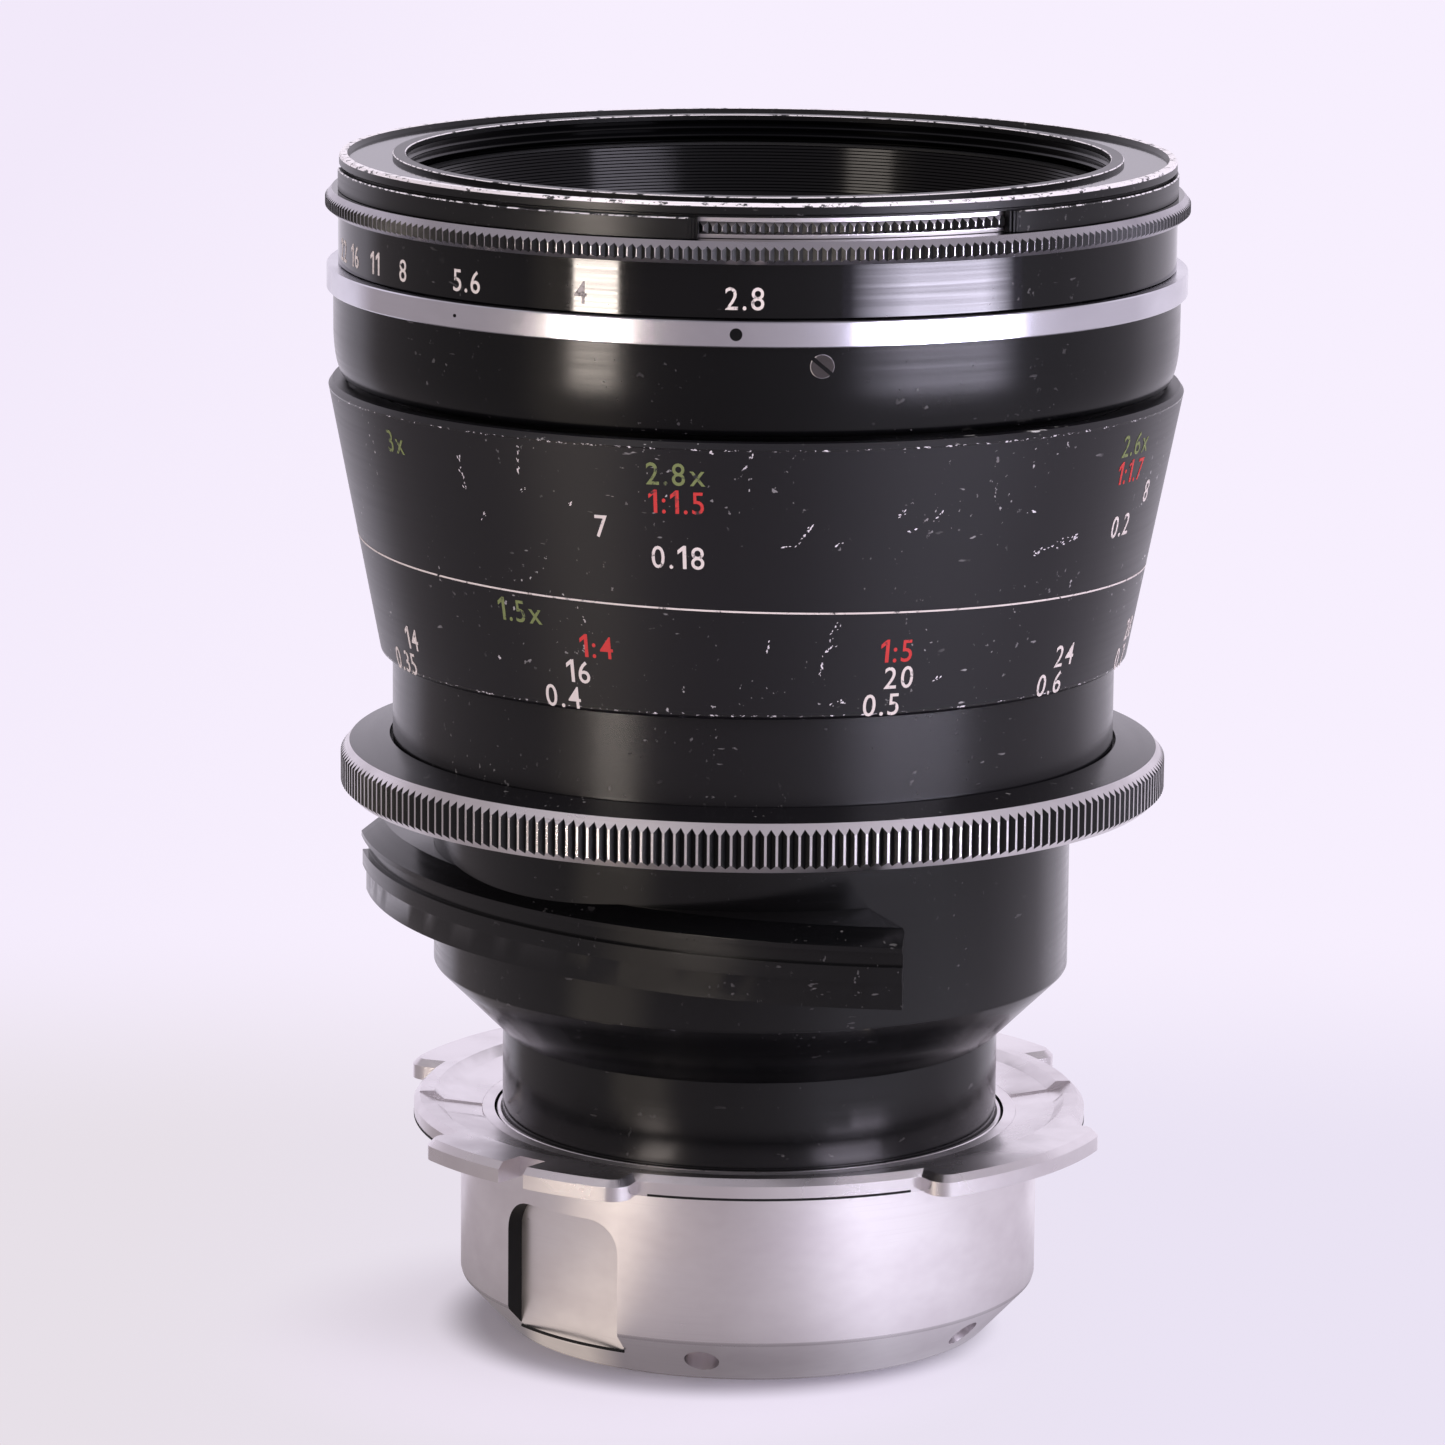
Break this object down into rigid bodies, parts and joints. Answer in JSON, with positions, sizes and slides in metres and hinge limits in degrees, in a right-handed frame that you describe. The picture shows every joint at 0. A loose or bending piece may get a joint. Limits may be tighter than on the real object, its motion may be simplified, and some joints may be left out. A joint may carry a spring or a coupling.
{
  "type": "macro lens",
  "caption": "Manual macro lens for a cine camera: grip wing, knurled rings, conical focusing sleeve with distance and ratio scales, preset aperture ring and lugged mount.",
  "frame": {"origin": "centre of the mount barrel's rear end, on which the lens stands", "axes": "+Z along the optical axis towards the front of the lens, -Y towards the index dot's side, +X to the right of the pictured view"},
  "size_m": [0.079, 0.079, 0.1094],
  "materials": {
    "satin_nickel": "satin turned nickel",
    "bright_nickel": "bright turned nickel",
    "black_gloss": "glossy black anodising",
    "black_satin": "satin black anodising",
    "black_matt": "matt black",
    "bronze": "turned bronze",
    "steel": "plain steel",
    "blade_black": "blackened spring steel",
    "glass": "clear coated glass"
  },
  "bodies": {
    "mount_body": {"mount_barrel": "satin_nickel", "mount_lip_ring": "bright_nickel", "mount_flange": "satin_nickel", "rear_body": "black_gloss", "grip_wing": "black_gloss", "grip_screws": "steel", "rear_baffle": "black_matt", "helicoid_tube": "black_satin", "guide_keys": "steel"},
    "clamp_ring": {"clamp_ring": "black_gloss"},
    "front_barrel": {"front_tube": "bronze", "travel_stop_ring": "bronze", "sleeve_bearing": "black_satin", "snap_ring": "steel", "band_shell": "black_gloss", "band_screws": "steel", "index_ring": "bright_nickel", "front_cap": "black_gloss", "click_ball": "steel", "click_spring": "steel", "front_baffle": "black_matt", "iris_housing": "black_matt", "iris_pivots": "steel", "iris_cover": "black_matt", "front_cell": "black_satin", "front_flint": "glass", "front_crown": "glass", "pair_spacer": "black_matt", "front_element": "glass", "front_retaining_ring": "black_matt", "rear_cell": "black_satin", "rear_crown": "glass", "rear_flint": "glass", "rear_pair_ring": "black_matt", "rear_element": "glass", "rear_retaining_ring": "black_matt"},
    "focus_sleeve": {"focus_cone": "black_satin", "focus_nut": "bronze"},
    "aperture_ring": {"aperture_scale_band": "black_gloss", "aperture_knurl_ring": "black_gloss", "iris_link": "steel", "iris_drive_ring": "bronze"},
    "preset_ring": {"preset_ring": "black_satin"},
    "iris_blade_1": {"iris_blade_1": "blade_black"},
    "iris_blade_2": {"iris_blade_2": "blade_black"},
    "iris_blade_3": {"iris_blade_3": "blade_black"},
    "iris_blade_4": {"iris_blade_4": "blade_black"},
    "iris_blade_5": {"iris_blade_5": "blade_black"},
    "iris_blade_6": {"iris_blade_6": "blade_black"}
  },
  "joints": [
    {"name": "focus_travel", "type": "slide", "parent": "mount_body", "child": "front_barrel", "axis": [0, 0, 1], "range_m": [-0.0065, 0.0175]},
    {"name": "focus_turn", "type": "hinge", "parent": "front_barrel", "child": "focus_sleeve", "pos_m": [0, 0, 0.0763], "axis": [0, 0, 1], "range_deg": [-234.5, 630.5]},
    {"name": "clamp_turn", "type": "hinge", "parent": "mount_body", "child": "clamp_ring", "pos_m": [0, 0, 0.0533], "axis": [0, 0, 1], "range_deg": [0, 40]},
    {"name": "aperture_turn", "type": "hinge", "parent": "front_barrel", "child": "aperture_ring", "pos_m": [0, 0, 0.1029], "axis": [0, 0, 1], "range_deg": [0, 80]},
    {"name": "preset_turn", "type": "hinge", "parent": "front_barrel", "child": "preset_ring", "pos_m": [0, 0, 0.1072], "axis": [0, 0, 1], "range_deg": [0, 80]},
    {"name": "blade_1_swing", "type": "hinge", "parent": "front_barrel", "child": "iris_blade_1", "pos_m": [0.01, -0.01732, 0.0715], "axis": [0, 0, 1], "range_deg": [0, 24.1]},
    {"name": "blade_2_swing", "type": "hinge", "parent": "front_barrel", "child": "iris_blade_2", "pos_m": [0.02, 0, 0.0715], "axis": [0, 0, 1], "range_deg": [0, 24.1]},
    {"name": "blade_3_swing", "type": "hinge", "parent": "front_barrel", "child": "iris_blade_3", "pos_m": [0.01, 0.01732, 0.0715], "axis": [0, 0, 1], "range_deg": [0, 24.1]},
    {"name": "blade_4_swing", "type": "hinge", "parent": "front_barrel", "child": "iris_blade_4", "pos_m": [-0.01, 0.01732, 0.0715], "axis": [0, 0, 1], "range_deg": [0, 24.1]},
    {"name": "blade_5_swing", "type": "hinge", "parent": "front_barrel", "child": "iris_blade_5", "pos_m": [-0.02, 0, 0.0715], "axis": [0, 0, 1], "range_deg": [0, 24.1]},
    {"name": "blade_6_swing", "type": "hinge", "parent": "front_barrel", "child": "iris_blade_6", "pos_m": [-0.01, -0.01732, 0.0715], "axis": [0, 0, 1], "range_deg": [0, 24.1]}
  ],
  "couplings": [
    {"joint": "focus_turn", "follows": "focus_travel", "rad_per_m": 628.32},
    {"joint": "blade_1_swing", "follows": "aperture_turn", "ratio": 0.3},
    {"joint": "blade_2_swing", "follows": "aperture_turn", "ratio": 0.3},
    {"joint": "blade_3_swing", "follows": "aperture_turn", "ratio": 0.3},
    {"joint": "blade_4_swing", "follows": "aperture_turn", "ratio": 0.3},
    {"joint": "blade_5_swing", "follows": "aperture_turn", "ratio": 0.3},
    {"joint": "blade_6_swing", "follows": "aperture_turn", "ratio": 0.3}
  ]
}
